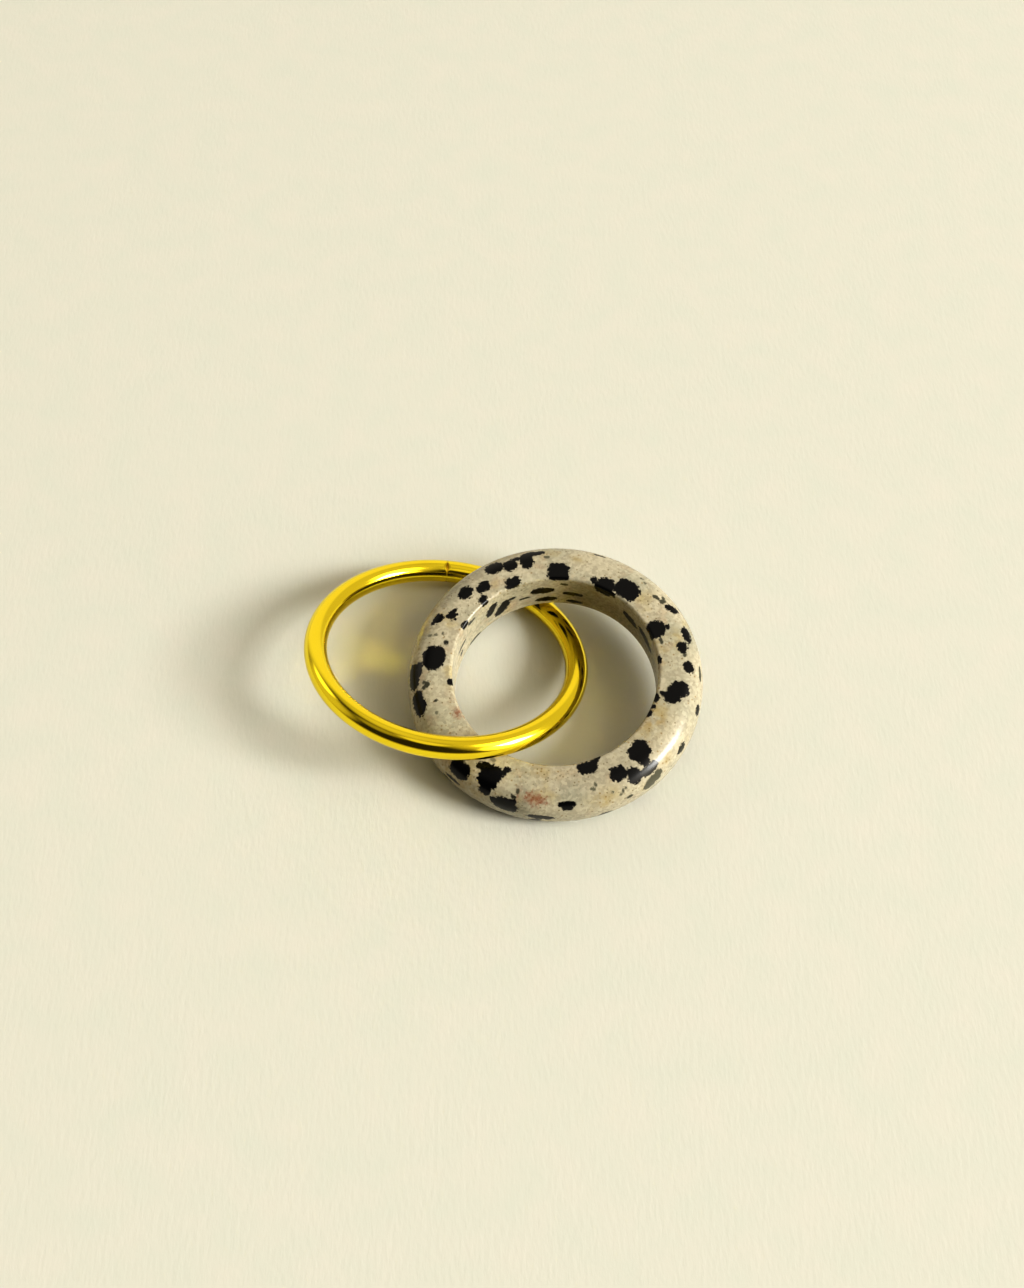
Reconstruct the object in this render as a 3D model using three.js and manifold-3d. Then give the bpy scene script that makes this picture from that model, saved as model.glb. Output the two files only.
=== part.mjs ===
// Linked stackable ring: a band of spotted stone and a band of round gold-coloured wire.
// The two pass through each other like two links of a chain and lie on a flat surface.
// Units are millimetres and +Z is up. The pair rests on the plane z = 0.
import * as THREE from 'three';
import { mergeVertices } from 'three/addons/utils/BufferGeometryUtils.js';
import Module from 'manifold-3d';

// Stone band
const STONE_BORE_RADIUS = 8.65;
const STONE_WALL = 3.85;
const STONE_WIDTH = 4.6;
// The side faces are flat next to the bore, then roll over to the outside
const STONE_FLAT = 0.9;
const STONE_BORE_EDGE_RADIUS = 0.35;
// Squareness of the rolled-over shoulder: 2 is an ellipse, and more is squarer
const STONE_SHOULDER_POWER = 2.5;

// Gold band
const GOLD_BORE_RADIUS = 10.27;
const WIRE_DIAMETER = 1.9;
// The wire's two ends meet in a butt seam that shows as a fine groove round the wire
const SEAM_WIDTH = 0.14;
const SEAM_DEPTH = 0.12;
const SEAM_ANGLE = 90;

// How the pair lies, seen from above: the stone's centre from the gold's, and the way that
// each band leans, in degrees anticlockwise from +X
const STONE_OFFSET_X = 9.22;
const STONE_OFFSET_Y = -2.32;
const STONE_HEADING_ANGLE = 256.8;
const GOLD_HEADING_ANGLE = 60.6;
// Air left where one band crosses over the other
const CROSSING_CLEARANCE = 0.3;

// Search for the tilts at which the pair rests
const WIRE_SAMPLES = 720;
const TILT_NUDGE = 1e-4;
const LONGEST_TILT_STEP = 0.05;
const MOST_TILT_STEPS = 40;
const GAP_TOLERANCE = 1e-5;

// Fineness of the facets
const STONE_STEPS_AROUND = 96;
const SHOULDER_STEPS = 12;
const BORE_EDGE_STEPS = 4;
const WIRE_STEPS_AROUND = 24;
const GOLD_STEPS_AROUND = 120;
const SEAM_STEPS_AROUND = 48;

// Vertices closer than this are one vertex when a mesh is made a solid
const MERGE_DISTANCE = 1e-4;

// Sizes that follow from those above
const WIRE_RADIUS = WIRE_DIAMETER / 2;
const GOLD_CENTRELINE_RADIUS = GOLD_BORE_RADIUS + WIRE_RADIUS;
const STONE_CENTRE_FROM_GOLD = new THREE.Vector2(STONE_OFFSET_X, STONE_OFFSET_Y);

// Finishes
const stoneMaterial = new THREE.MeshStandardMaterial({
  name: 'polished_spotted_stone',
  color: 0xcfc5a6,
  roughness: 0.22,
  metalness: 0,
});
const goldMaterial = new THREE.MeshStandardMaterial({
  name: 'polished_gold',
  color: 0xe0b04a,
  roughness: 0.12,
  metalness: 1,
});

const { degToRad } = THREE.MathUtils;
const wasm = await Module();
wasm.setup();

// Half of the stone's section, from the bore up over the edge to the middle of the outside.
// x is the distance from the band's axis and y the height above its middle plane.
function stoneUpperOutline() {
  const half = STONE_WIDTH / 2;
  const edge = STONE_BORE_EDGE_RADIUS;
  const flatStart = STONE_BORE_RADIUS + edge;
  const flatEnd = flatStart + STONE_FLAT;
  const shoulder = STONE_BORE_RADIUS + STONE_WALL - flatEnd;
  const outline = [];
  for (let i = 0; i <= BORE_EDGE_STEPS; i++) {
    const turn = (i / BORE_EDGE_STEPS) * (Math.PI / 2);
    const x = flatStart - edge * Math.cos(turn);
    const y = half - edge + edge * Math.sin(turn);
    outline.push(new THREE.Vector2(x, y));
  }
  for (let i = 0; i <= SHOULDER_STEPS; i++) {
    const turn = (i / SHOULDER_STEPS) * (Math.PI / 2);
    const x = flatEnd + shoulder * Math.sin(turn) ** (2 / STONE_SHOULDER_POWER);
    const y = half * Math.max(Math.cos(turn), 0) ** (2 / STONE_SHOULDER_POWER);
    outline.push(new THREE.Vector2(x, y));
  }
  return outline;
}

// The stone's whole section, closed on itself and anticlockwise: the lower half is the
// upper one's mirror image
function stoneOutline() {
  const upper = stoneUpperOutline();
  const lower = upper.slice(0, -1).map((point) => new THREE.Vector2(point.x, -point.y));
  const outline = [...lower, ...upper.reverse()];
  outline.push(outline[0].clone());
  return outline;
}

// Distance from a point to a closed outline, negative inside it
function distanceToOutline(outline, point) {
  const nearest = new THREE.Vector2();
  const edge = new THREE.Vector2();
  let distance = Infinity;
  let inside = false;
  for (let i = 1; i < outline.length; i++) {
    const [from, to] = [outline[i - 1], outline[i]];
    edge.subVectors(to, from);
    const along = nearest.subVectors(point, from).dot(edge) / edge.lengthSq();
    nearest.copy(from).addScaledVector(edge, THREE.MathUtils.clamp(along, 0, 1));
    distance = Math.min(distance, nearest.distanceTo(point));
    const crosses = (from.y > point.y) !== (to.y > point.y);
    if (crosses && point.x < from.x + ((point.y - from.y) / edge.y) * edge.x) inside = !inside;
  }
  return inside ? -distance : distance;
}

// Turns a band's axis from upright towards a direction on the surface
function leaning(direction, tilt) {
  const heading = degToRad(direction);
  const hinge = new THREE.Vector3(-Math.sin(heading), Math.cos(heading), 0);
  return new THREE.Quaternion().setFromAxisAngle(hinge, tilt);
}

// Places of both bands for two tilts, each with its lowest point on the surface
function placesFor(tilts, outline) {
  const [stoneTilt, goldTilt] = tilts;
  const reach = outline.map((point) => point.x * Math.sin(stoneTilt) + point.y * Math.cos(stoneTilt));
  const goldHeight = GOLD_CENTRELINE_RADIUS * Math.sin(goldTilt) + WIRE_RADIUS;
  const { x, y } = STONE_CENTRE_FROM_GOLD;
  return {
    stone: {
      position: new THREE.Vector3(x, y, Math.max(...reach)),
      quaternion: leaning(STONE_HEADING_ANGLE, stoneTilt),
    },
    gold: {
      position: new THREE.Vector3(0, 0, goldHeight),
      quaternion: leaning(GOLD_HEADING_ANGLE, goldTilt),
    },
  };
}

// Air between the wire and the stone at the two crossings, one each side of the line of centres
function crossingGaps(tilts, outline) {
  const { stone, gold } = placesFor(tilts, outline);
  const toStone = stone.quaternion.clone().invert();
  const gaps = [Infinity, Infinity];
  for (let i = 0; i < WIRE_SAMPLES; i++) {
    const turn = (i / WIRE_SAMPLES) * 2 * Math.PI;
    const onWire = new THREE.Vector3(Math.cos(turn), Math.sin(turn), 0);
    onWire.multiplyScalar(GOLD_CENTRELINE_RADIUS).applyQuaternion(gold.quaternion).add(gold.position);
    const isLeftOfCentres = STONE_CENTRE_FROM_GOLD.cross(onWire) > 0;
    const side = isLeftOfCentres ? 0 : 1;
    onWire.sub(stone.position).applyQuaternion(toStone);
    const inSection = new THREE.Vector2(Math.hypot(onWire.x, onWire.y), onWire.z);
    gaps[side] = Math.min(gaps[side], distanceToOutline(outline, inSection) - WIRE_RADIUS);
  }
  return gaps;
}

// How far both gaps are from the stated clearance
function gapErrors(tilts, outline) {
  return crossingGaps(tilts, outline).map((gap) => gap - CROSSING_CLEARANCE);
}

// The two tilts at which the bands just clear each other at both crossings, found by
// Newton's method: each step measures how both gaps answer to a small change of each tilt
function restingTilts(outline) {
  // The stone leans on the wire under its far rim, and the wire on the stone's near rim
  const tilts = [
    Math.atan2(WIRE_DIAMETER, 2 * STONE_BORE_RADIUS),
    Math.atan2(STONE_WIDTH, 2 * STONE_BORE_RADIUS),
  ];
  const limited = (step) => THREE.MathUtils.clamp(step, -LONGEST_TILT_STEP, LONGEST_TILT_STEP);
  for (let round = 0; round < MOST_TILT_STEPS; round++) {
    const errors = gapErrors(tilts, outline);
    if (Math.hypot(...errors) < GAP_TOLERANCE) break;
    const [byStone, byGold] = [0, 1].map((index) => {
      const nudged = tilts.map((tilt, i) => (i === index ? tilt + TILT_NUDGE : tilt));
      return gapErrors(nudged, outline).map((error, i) => (error - errors[i]) / TILT_NUDGE);
    });
    const determinant = byStone[0] * byGold[1] - byGold[0] * byStone[1];
    tilts[0] += limited((byGold[0] * errors[1] - byGold[1] * errors[0]) / determinant);
    tilts[1] += limited((byStone[1] * errors[0] - byStone[0] * errors[1]) / determinant);
  }
  return tilts;
}

// A closed mesh as a solid that can be cut
function toSolid(geometry) {
  const bare = geometry.clone();
  bare.deleteAttribute('normal');
  bare.deleteAttribute('uv');
  const merged = mergeVertices(bare, MERGE_DISTANCE);
  const vertProperties = new Float32Array(merged.attributes.position.array);
  const triVerts = new Uint32Array(merged.index.array);
  return new wasm.Manifold(new wasm.Mesh({ numProp: 3, vertProperties, triVerts }));
}

// A cut solid as a mesh again
function toGeometry(solid) {
  const mesh = solid.getMesh();
  const geometry = new THREE.BufferGeometry();
  geometry.setAttribute('position', new THREE.BufferAttribute(new Float32Array(mesh.vertProperties), 3));
  geometry.setIndex(new THREE.BufferAttribute(new Uint32Array(mesh.triVerts), 1));
  geometry.computeVertexNormals();
  return geometry;
}

// The stone band, turned about its own axis, which is Z
function makeStoneBand(outline) {
  const geometry = new THREE.LatheGeometry(outline, STONE_STEPS_AROUND);
  geometry.rotateX(Math.PI / 2);
  return geometry;
}

// A flat washer round the wire, which cuts the seam's groove
function makeSeamCutter() {
  const [inner, outer] = [WIRE_RADIUS - SEAM_DEPTH, WIRE_RADIUS + SEAM_DEPTH];
  const half = SEAM_WIDTH / 2;
  const corners = [[inner, -half], [outer, -half], [outer, half], [inner, half], [inner, -half]];
  const profile = corners.map(([x, y]) => new THREE.Vector2(x, y));
  return new THREE.LatheGeometry(profile, SEAM_STEPS_AROUND);
}

// The gold band: a round wire bent into a circle about Z, grooved at its seam
function makeGoldBand() {
  const wire = new THREE.TorusGeometry(
    GOLD_CENTRELINE_RADIUS, WIRE_RADIUS, WIRE_STEPS_AROUND, GOLD_STEPS_AROUND);
  const cutter = makeSeamCutter();
  cutter.translate(GOLD_CENTRELINE_RADIUS, 0, 0);
  cutter.rotateZ(degToRad(SEAM_ANGLE));
  return toGeometry(toSolid(wire).subtract(toSolid(cutter)));
}

// A named mesh at its place
function placed(name, geometry, material, place) {
  const mesh = new THREE.Mesh(geometry, material);
  mesh.name = name;
  mesh.position.copy(place.position);
  mesh.quaternion.copy(place.quaternion);
  return mesh;
}

const outline = stoneOutline();
const places = placesFor(restingTilts(outline), outline);
const pair = new THREE.Group();
pair.add(placed('stone_band', makeStoneBand(outline), stoneMaterial, places.stone));
pair.add(placed('gold_band', makeGoldBand(), goldMaterial, places.gold));

// The origin is the middle of the pair's outline, at the level of the surface
pair.updateMatrixWorld(true);
const extent = new THREE.Box3().setFromObject(pair, true);
const middle = extent.getCenter(new THREE.Vector3());
pair.position.set(-middle.x, -middle.y, -extent.min.z);
pair.updateMatrixWorld(true);

export default pair;
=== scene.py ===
"""A linked stackable ring: a polished band of spotted stone with a band of round gold wire through it.

The two bands lie on a pale surface as links of a chain do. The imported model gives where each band
lies and how large it is. This script gives each one its fine surface and its finish, and adds the
surface they lie on, the light and the camera. Lengths of the bands are in millimetres until a mesh
is made, and everything in the scene is in metres.
"""

import logging
import math
from dataclasses import dataclass, field
from enum import Enum
from typing import Any

import bpy
import numpy as np
from mathutils import Matrix, Vector


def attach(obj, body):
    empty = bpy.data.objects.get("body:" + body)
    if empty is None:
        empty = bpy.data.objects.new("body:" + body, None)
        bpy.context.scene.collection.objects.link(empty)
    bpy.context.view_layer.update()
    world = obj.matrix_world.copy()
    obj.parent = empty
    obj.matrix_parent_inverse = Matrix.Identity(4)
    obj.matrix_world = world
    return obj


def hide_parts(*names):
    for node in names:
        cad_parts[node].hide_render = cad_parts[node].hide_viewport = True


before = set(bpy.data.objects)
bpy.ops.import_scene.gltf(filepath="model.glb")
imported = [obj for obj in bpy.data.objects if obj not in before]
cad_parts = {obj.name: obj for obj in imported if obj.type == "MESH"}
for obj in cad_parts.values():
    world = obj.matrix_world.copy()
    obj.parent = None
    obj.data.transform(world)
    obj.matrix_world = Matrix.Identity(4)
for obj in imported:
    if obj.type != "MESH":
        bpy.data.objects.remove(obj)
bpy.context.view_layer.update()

LOG = logging.getLogger("linked_ring")
MM = 0.001
FULL_TURN = 2 * math.pi

# Places of the colours on a Mix node, which has sockets of the same names for numbers too
MIX_AMOUNT, MIX_UNDER, MIX_OVER, MIX_RESULT = 0, 6, 7, 2
# Places of the numbers on the same node
MIX_LOW, MIX_HIGH = 2, 3

# The type of a Geometry Nodes input for each type of value that it takes
SOCKET_KINDS = {
    float: "NodeSocketFloat", int: "NodeSocketInt", bpy.types.Material: "NodeSocketMaterial",
}


# Small helpers

def linear(hex_colour: str) -> tuple[float, float, float, float]:
    """Turns an sRGB hex colour into the linear colour that a shader takes.

    Args:
        hex_colour: the colour as "#RRGGBB".

    Returns:
        Linear red, green and blue, and an alpha of one.
    """
    channels = [int(hex_colour[i:i + 2], 16) / 255 for i in (1, 3, 5)]
    # The curve that the sRGB standard gives
    red, green, blue = (
        c / 12.92 if c <= 0.04045 else ((c + 0.055) / 1.055) ** 2.4 for c in channels
    )
    return red, green, blue, 1.0


def per_mm(size_mm: float) -> float:
    """Gives the texture scale at which one feature is size_mm wide on coordinates in metres."""
    return 1 / (size_mm * MM)


def add_node(
    tree: bpy.types.NodeTree, kind: str, inputs: dict[str | int, Any] | None = None,
    out: str | int = 0, **settings: Any,
) -> bpy.types.NodeSocket | None:
    """Adds one node to a tree, with its settings, its values and the links into it.

    Args:
        tree: the tree that takes the node.
        kind: the node's type name.
        inputs: for each input, by name or place, a value or the output that feeds it.
        out: the wanted output, by name or place.
        **settings: the node's own properties.

    Returns:
        The wanted output, or None where the node has no outputs.
    """
    node = tree.nodes.new(kind)
    for name, value in settings.items():
        setattr(node, name, value)
    for place, value in (inputs or {}).items():
        if isinstance(value, bpy.types.NodeSocket):
            tree.links.new(value, node.inputs[place])
        else:
            node.inputs[place].default_value = value
    return node.outputs[out] if node.outputs else None


def new_material(name: str) -> tuple[bpy.types.Material, bpy.types.NodeTree, bpy.types.Node]:
    """Makes a material with only a Principled shader and its output.

    Args:
        name: the material's name.

    Returns:
        The material, its node tree and the shader.
    """
    material = bpy.data.materials.new(name)
    material.use_nodes = True
    tree = material.node_tree
    tree.nodes.clear()
    shading = add_node(tree, "ShaderNodeBsdfPrincipled")
    add_node(tree, "ShaderNodeOutputMaterial", {"Surface": shading})
    return material, tree, shading.node


def direction(azimuth: float, elevation: float) -> Vector:
    """Gives the unit vector that points to a place round the ring.

    Args:
        azimuth: degrees anticlockwise from +X, seen from above.
        elevation: degrees above the surface.

    Returns:
        The unit vector.
    """
    turn = math.radians(azimuth)
    rise = math.radians(elevation)
    return Vector((math.cos(turn) * math.cos(rise), math.sin(turn) * math.cos(rise), math.sin(rise)))


class Slot(Enum):
    """The material slots that the record names."""

    STONE = "spotted_stone"
    GOLD = "gold_metal"


# Camera

@dataclass(frozen=True)
class ViewCamera:
    """The camera at the photograph's angle: straight over the near side, looking down."""

    elevation: float = 56.0
    distance_mm: float = 146.0
    aim_mm: tuple[float, float, float] = (0.716, 5.334, 0.0)
    lens_mm: float = 45.87
    sensor_mm: float = 36.0
    nearest_mm: float = 10.0

    def build(self) -> bpy.types.Object:
        """Makes the camera and gives it to the scene.

        Returns:
            The camera's object.
        """
        data = bpy.data.cameras.new("view_camera")
        data.lens = self.lens_mm
        data.sensor_width = self.sensor_mm
        data.sensor_fit = "AUTO"
        data.clip_start = self.nearest_mm * MM
        camera = bpy.data.objects.new("view_camera", data)
        towards_camera = direction(-90, self.elevation)
        camera.location = (Vector(self.aim_mm) + towards_camera * self.distance_mm) * MM
        camera.rotation_euler = (math.radians(90 - self.elevation), 0, 0)
        bpy.context.scene.collection.objects.link(camera)
        bpy.context.scene.camera = camera
        return camera


# Light

@dataclass(frozen=True)
class Glow:
    """A soft bright part of the room, as the gold mirrors it.

    Attributes:
        azimuth: degrees anticlockwise from +X to its middle.
        elevation: degrees above the surface to its middle.
        half_width: degrees from its middle to the middle of its edge.
        softness: half the width of its edge, in degrees.
        strength: how bright it is.
    """

    azimuth: float
    elevation: float
    half_width: float
    softness: float
    strength: float


@dataclass(frozen=True)
class SoftRoom:
    """A plain studio: one large soft window from the right and a pale room round it.

    The window's distance and size are in metres. The glows are given as azimuth, elevation, half
    width, softness and strength.
    """

    window_azimuth: float = -20.5
    window_elevation: float = 32.0
    window_distance: float = 2.0
    window_size: tuple[float, float] = (0.68, 0.68)
    window_watts: float = 36.0
    window_colour: str = "#FEFFFE"
    base_strength: float = 0.032
    horizon_strength: float = 0.5
    horizon_reach: float = 15.0
    room_colour: str = "#FFF6E4"
    glows: tuple[Glow, ...] = (
        Glow(-29, 23, 20, 9, 2.3),
        Glow(-6, 48, 13, 9, 3.0),
        Glow(12, 25, 57, 14, 0.52),
        Glow(88, 66, 18, 16, 0.56),
        Glow(95, 6, 42, 14, 0.7),
        Glow(170, 20, 25, 13, 0.5),
        Glow(148, 34, 10, 7, 1.4),
        Glow(-158, 62, 12, 10, 0.3),
        Glow(-84, 79, 13, 6, 0.65),
    )

    def build(self) -> None:
        """Adds the window and paints the room."""
        self.hang_window()
        self.paint_room()

    def hang_window(self) -> None:
        """Adds the large soft light, aimed at the ring."""
        data = bpy.data.lights.new("soft_window", "AREA")
        data.shape = "RECTANGLE"
        data.size, data.size_y = self.window_size
        data.energy = self.window_watts
        data.color = linear(self.window_colour)[:3]
        lamp = bpy.data.objects.new("soft_window", data)
        towards = direction(self.window_azimuth, self.window_elevation)
        lamp.location = towards * self.window_distance
        lamp.rotation_euler = towards.to_track_quat("Z", "Y").to_euler()
        bpy.context.scene.collection.objects.link(lamp)

    def paint_room(self) -> None:
        """Gives the world its dim base and its soft glows, each by direction alone."""
        world = bpy.data.worlds.new("pale_room")
        bpy.context.scene.world = world
        world.use_nodes = True
        tree = world.node_tree
        tree.nodes.clear()
        looking = add_node(tree, "ShaderNodeTexCoord", out="Generated")
        height = add_node(tree, "ShaderNodeSeparateXYZ", {0: looking}, out="Z")
        total = add_node(
            tree, "ShaderNodeMapRange",
            {
                "Value": height, "From Max": math.sin(math.radians(self.horizon_reach)),
                "To Min": self.horizon_strength, "To Max": self.base_strength,
            },
            interpolation_type="SMOOTHSTEP",
        )
        for glow in self.glows:
            aim = direction(glow.azimuth, glow.elevation)
            facing = add_node(
                tree, "ShaderNodeVectorMath", {0: looking, 1: aim}, out="Value", operation="DOT_PRODUCT"
            )
            amount = add_node(
                tree, "ShaderNodeMapRange",
                {
                    "Value": facing,
                    "From Min": math.cos(math.radians(glow.half_width + glow.softness)),
                    "From Max": math.cos(math.radians(glow.half_width - glow.softness)),
                    "To Max": glow.strength,
                },
                interpolation_type="SMOOTHSTEP",
            )
            total = add_node(tree, "ShaderNodeMath", {0: total, 1: amount}, operation="MAXIMUM")
        background = add_node(
            tree, "ShaderNodeBackground", {"Color": linear(self.room_colour), "Strength": total}
        )
        add_node(tree, "ShaderNodeOutputWorld", {"Surface": background})


# Finishes

@dataclass(frozen=True)
class MatteCard:
    """Uncoated pale card, pressed from pulp.

    The eye gets an even cream, dead matt, with a faint mottling and short fibres that all run one
    way. The fibres are really finer and are drawn coarser so that they show.
    """

    colour: str = "#CDC9BF"
    mottle_colour: str = "#C4C7BC"
    mottle_mm: float = 3.5
    fibre_mm: float = 0.35
    fibre_stretch: float = 0.3
    detail: float = 4.0
    fibre_height_mm: float = 0.018
    roughness: float = 0.95
    specular: float = 0.2

    def build(self) -> bpy.types.Material:
        """Makes the card's material.

        Returns:
            The material.
        """
        material, tree, shader = new_material("uncoated_pale_card")
        place = add_node(tree, "ShaderNodeTexCoord", out="Object")
        mottle = add_node(
            tree, "ShaderNodeTexNoise",
            {"Vector": place, "Scale": per_mm(self.mottle_mm), "Detail": self.detail},
        )
        colour = add_node(
            tree, "ShaderNodeMix",
            {MIX_AMOUNT: mottle, MIX_UNDER: linear(self.mottle_colour), MIX_OVER: linear(self.colour)},
            out=MIX_RESULT, data_type="RGBA",
        )
        tree.links.new(colour, shader.inputs["Base Color"])
        drawn_out = add_node(
            tree, "ShaderNodeVectorMath", {0: place, 1: (1, self.fibre_stretch, 1)}, operation="MULTIPLY"
        )
        fibres = add_node(
            tree, "ShaderNodeTexNoise",
            {"Vector": drawn_out, "Scale": per_mm(self.fibre_mm), "Detail": self.detail},
        )
        relief = add_node(
            tree, "ShaderNodeBump", {"Height": fibres, "Distance": self.fibre_height_mm * MM}
        )
        tree.links.new(relief, shader.inputs["Normal"])
        shader.inputs["Roughness"].default_value = self.roughness
        shader.inputs["Specular IOR Level"].default_value = self.specular
        return material


@dataclass(frozen=True)
class PolishedGold:
    """Polished yellow gold, drawn as wire and bent by hand.

    The eye gets a deep warm yellow that mirrors the room in long bands, slightly bent by low waves
    from the bending, a faint haze of polishing lines that run along the wire, and a brown shade in
    the open side of the butt seam. The haze's lines are really a few microns wide and are drawn
    coarser so that they show.
    """

    colour: str = "#FFE942"
    shade_colour: str = "#FADF3C"
    seam_colour: str = "#7A4A0C"
    seam_cover: float = 0.85
    seam_roughness: float = 0.3
    roughness: float = 0.1
    roughness_spread: float = 0.05
    line_length_mm: float = 6.0
    line_width_mm: float = 0.16
    line_detail: float = 2.0
    wave_mm: float = 3.0
    wave_detail: float = 1.0
    wave_height_mm: float = 0.002

    def build(self) -> bpy.types.Material:
        """Makes the gold's material.

        Returns:
            The material.
        """
        material, tree, shader = new_material("polished_yellow_gold_wire")
        place = add_node(tree, "ShaderNodeTexCoord", out="Object")
        along, around, seam = (
            add_node(tree, "ShaderNodeAttribute", out="Fac", attribute_name=name)
            for name in ("along_band", "around_wire", "seam_shade")
        )
        waves = add_node(
            tree, "ShaderNodeTexNoise",
            {"Vector": place, "Scale": per_mm(self.wave_mm), "Detail": self.wave_detail},
        )
        tone = add_node(
            tree, "ShaderNodeMix",
            {MIX_AMOUNT: waves, MIX_UNDER: linear(self.shade_colour), MIX_OVER: linear(self.colour)},
            out=MIX_RESULT, data_type="RGBA",
        )
        shaded = add_node(tree, "ShaderNodeMath", {0: seam, 1: self.seam_cover}, operation="MULTIPLY")
        colour = add_node(
            tree, "ShaderNodeMix",
            {MIX_AMOUNT: shaded, MIX_UNDER: tone, MIX_OVER: linear(self.seam_colour)},
            out=MIX_RESULT, data_type="RGBA",
        )
        tree.links.new(colour, shader.inputs["Base Color"])
        run, cross = (
            add_node(tree, "ShaderNodeMath", {0: length, 1: 1 / size}, operation="MULTIPLY")
            for length, size in ((along, self.line_length_mm), (around, self.line_width_mm))
        )
        laid = add_node(tree, "ShaderNodeCombineXYZ", {"X": run, "Y": cross})
        lines = add_node(
            tree, "ShaderNodeTexNoise", {"Vector": laid, "Scale": 1.0, "Detail": self.line_detail}
        )
        gloss = add_node(
            tree, "ShaderNodeMapRange",
            {"Value": lines, "To Min": self.roughness, "To Max": self.roughness + self.roughness_spread},
        )
        dulled = add_node(
            tree, "ShaderNodeMath", {0: seam, 1: self.seam_roughness, 2: gloss}, operation="MULTIPLY_ADD"
        )
        tree.links.new(dulled, shader.inputs["Roughness"])
        bend = add_node(
            tree, "ShaderNodeBump", {"Height": waves, "Distance": self.wave_height_mm * MM}
        )
        tree.links.new(bend, shader.inputs["Normal"])
        shader.inputs["Metallic"].default_value = 1.0
        return material


@dataclass(frozen=True)
class Specks:
    """One kind of fine speck in the stone, strewn more thickly where the chart has more of it.

    Attributes:
        chart: the mesh attribute that says where there are more.
        colour: their colour.
        spacing_mm: the size of the cells that hold one speck each, or none.
        radius_mm: a speck's radius.
        least: the share of cells with a speck where the chart has none.
        most: the share of cells with a speck where the chart is full.
        depth: how much of the ground a speck covers.
    """

    chart: str
    colour: str
    spacing_mm: float
    radius_mm: float
    least: float
    most: float
    depth: float


@dataclass(frozen=True)
class Drift:
    """A soft change of the stone's ground from place to place.

    Attributes:
        colour: the colour that it drifts to.
        size_mm: the size of its clouds.
        start: the noise value at which it starts.
        end: the noise value at which it is full.
        depth: how much of the ground it covers where it is full.
    """

    colour: str
    size_mm: float
    start: float
    end: float
    depth: float


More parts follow.
